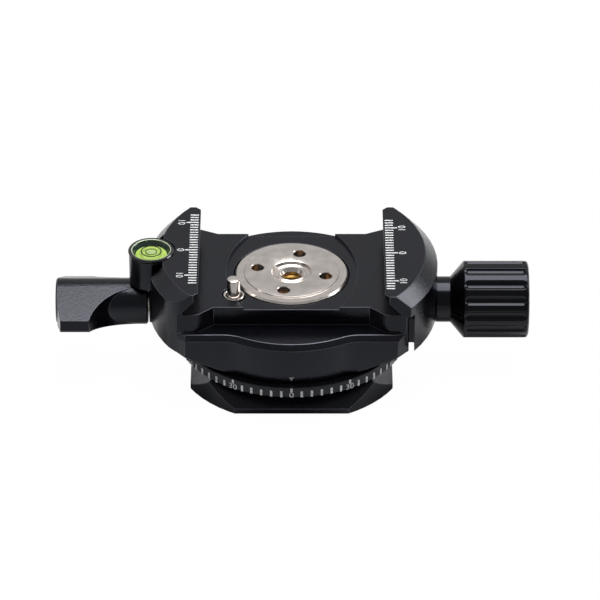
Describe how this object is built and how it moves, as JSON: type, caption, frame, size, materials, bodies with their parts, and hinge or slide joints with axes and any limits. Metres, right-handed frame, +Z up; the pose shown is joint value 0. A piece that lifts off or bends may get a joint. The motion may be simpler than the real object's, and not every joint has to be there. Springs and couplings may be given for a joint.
{
  "type": "panoramic tripod head",
  "caption": "Compact panning tripod head: dovetail base, degree dial ring, turning head with a quick-release clamp, sliding jaw with fluted knob, lock lever, bubble level and sprung stop pin.",
  "frame": {"origin": "middle of the base's underside, on the pan axis", "axes": "+Z up along the pan axis, +X to the clamp knob, -X to the lock lever and level, -Y to the front with the dial's index"},
  "size_m": [0.1, 0.049, 0.028],
  "materials": {
    "black_anodised": "satin black anodised",
    "black_anodised_ring": "satin black anodised with printed white scale",
    "stainless": "fine turned stainless",
    "black_steel": "black oxide",
    "brass": "turned",
    "spring_steel": "drawn wire",
    "black_acetal": "machined acetal",
    "bronze": "plain bearing bronze",
    "clear_acrylic": "clear polished",
    "level_cup": "moulded",
    "level_fluid": "tinted fluid",
    "air_bubble": "air bubble"
  },
  "bodies": {
    "base": {"base_plate": "black_anodised", "tripod_socket": "stainless", "dial_ring": "black_anodised_ring", "bearing_ring": "black_acetal", "dial_screw_1": "black_steel", "dial_screw_2": "black_steel", "dial_screw_3": "black_steel", "dial_screw_4": "black_steel", "spindle": "stainless", "spindle_insert": "brass", "pan_washer": "black_acetal", "pan_bush": "bronze"},
    "head": {"head_body": "black_anodised", "clamp_nut": "brass", "lever_washer": "black_acetal", "stop_pin_bush": "stainless", "level_cup": "level_cup", "level_fluid": "level_fluid", "level_bubble": "air_bubble", "level_lens": "clear_acrylic", "jaw_spring_1": "spring_steel", "jaw_spring_2": "spring_steel", "stop_pin_spring": "spring_steel"},
    "jaw": {"movable_jaw": "black_anodised", "guide_pin_1": "stainless", "guide_pin_2": "stainless", "knob_washer": "black_acetal"},
    "knob": {"clamp_knob": "black_anodised", "clamp_screw": "stainless"},
    "lever": {"lock_lever": "black_anodised", "lock_screw": "stainless"},
    "shoe": {"brake_shoe": "bronze"},
    "pin": {"stop_pin": "stainless"}
  },
  "joints": [
    {"name": "pan_rotation", "type": "hinge", "parent": "base", "child": "head", "pos_m": [0, 0, 0.022], "axis": [0, 0, 1], "continuous": true},
    {"name": "jaw_slide", "type": "slide", "parent": "head", "child": "jaw", "axis": [1, 0, 0], "range_m": [-0.00085, 0.004], "deforming": ["jaw_spring_1", "jaw_spring_2"]},
    {"name": "knob_turn", "type": "hinge", "parent": "jaw", "child": "knob", "pos_m": [0.0304, 0, 0.0151], "axis": [1, 0, 0], "range_deg": [-310, 1445]},
    {"name": "lever_turn", "type": "hinge", "parent": "head", "child": "lever", "pos_m": [-0.0304, 0, 0.01472], "axis": [1, 0, 0], "range_deg": [-90, 90]},
    {"name": "shoe_slide", "type": "slide", "parent": "head", "child": "shoe", "axis": [1, 0, 0], "range_m": [-0.000249, 0.000249]},
    {"name": "stop_pin_press", "type": "slide", "parent": "head", "child": "pin", "axis": [0, 0, -1], "range_m": [0, 0.0038], "stiffness_N_per_m": 150, "springref_m": -0.005, "deforming": ["stop_pin_spring"]}
  ],
  "couplings": [
    {"joint": "knob_turn", "follows": "jaw_slide", "rad_per_m": 6283.2},
    {"joint": "lever_turn", "follows": "shoe_slide", "rad_per_m": 6283.2}
  ]
}
